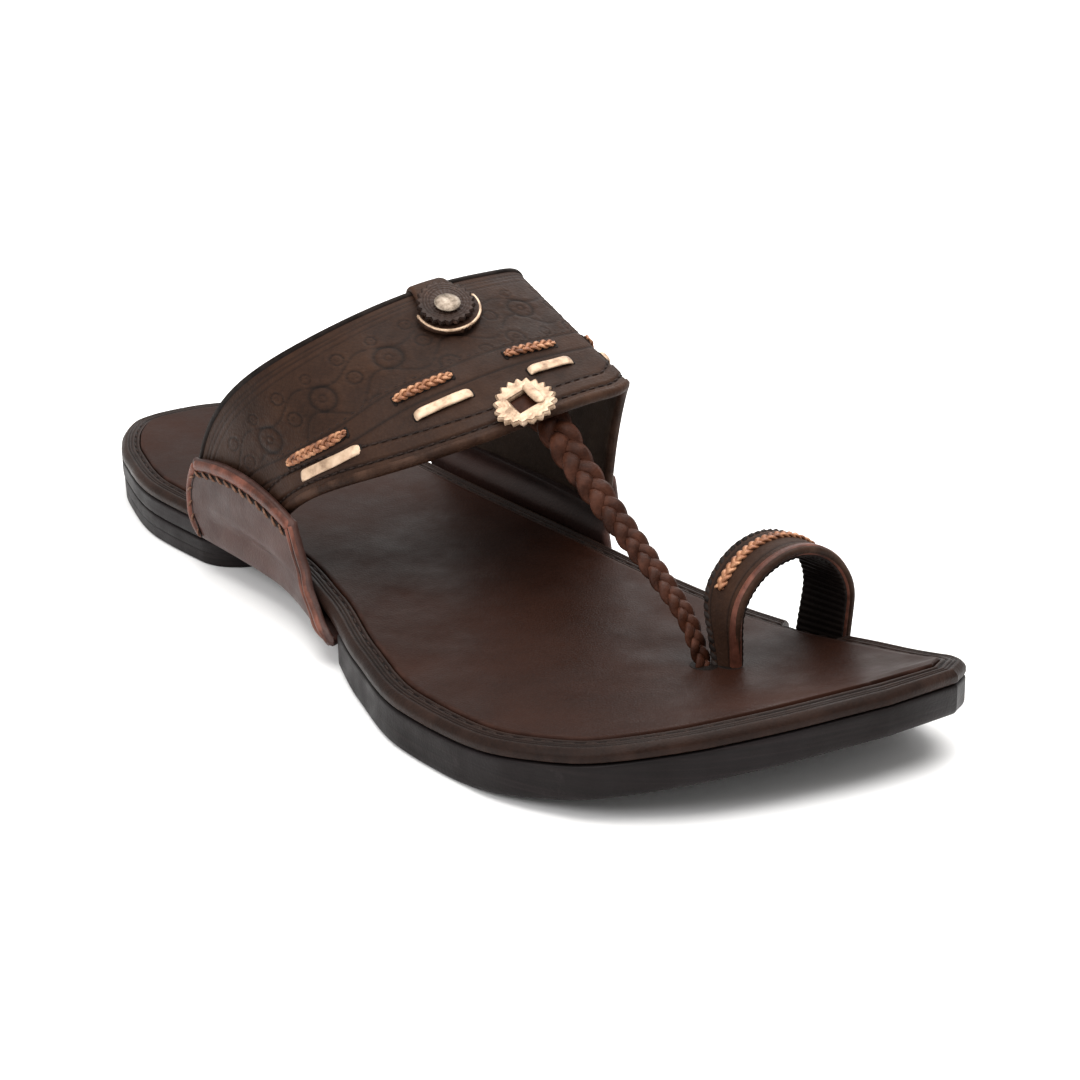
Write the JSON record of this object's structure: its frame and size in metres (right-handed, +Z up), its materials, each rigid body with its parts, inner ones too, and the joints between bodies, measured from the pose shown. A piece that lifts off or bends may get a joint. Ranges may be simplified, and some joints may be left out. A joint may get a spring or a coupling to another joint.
{
  "type": "kolhapuri sandal",
  "caption": "Flat leather sandal for the right foot: low sole with a rim, side flaps, wide tooled instep band with pale trim, riveted tab, rosette, braided strap and toe ring.",
  "frame": {"origin": "on the floor under the middle of the heel block", "axes": "+Y to the toe, +Z up, +X to the outer (lateral) side of the right foot"},
  "size_m": [0.0967, 0.28, 0.0764],
  "materials": {
    "sole_leather": "satin",
    "rim_leather": "satin",
    "footbed_leather": "satin",
    "flap_leather": "satin",
    "band_leather": "matte",
    "dark_leather": "matte",
    "lace_leather": "satin",
    "gold_leather": "metallic satin",
    "rivet_metal": "aged"
  },
  "bodies": {
    "root": {"heel": "sole_leather", "outsole": "sole_leather", "insole": "rim_leather", "footbed": "footbed_leather", "flap_lateral": "flap_leather", "flap_medial": "flap_leather", "band": "band_leather", "tab": "band_leather", "tab_washer": "dark_leather", "rivet": "rivet_metal", "rosette": "gold_leather", "braid_strap": "lace_leather", "toe_ring": "band_leather"}
  },
  "joints": []
}
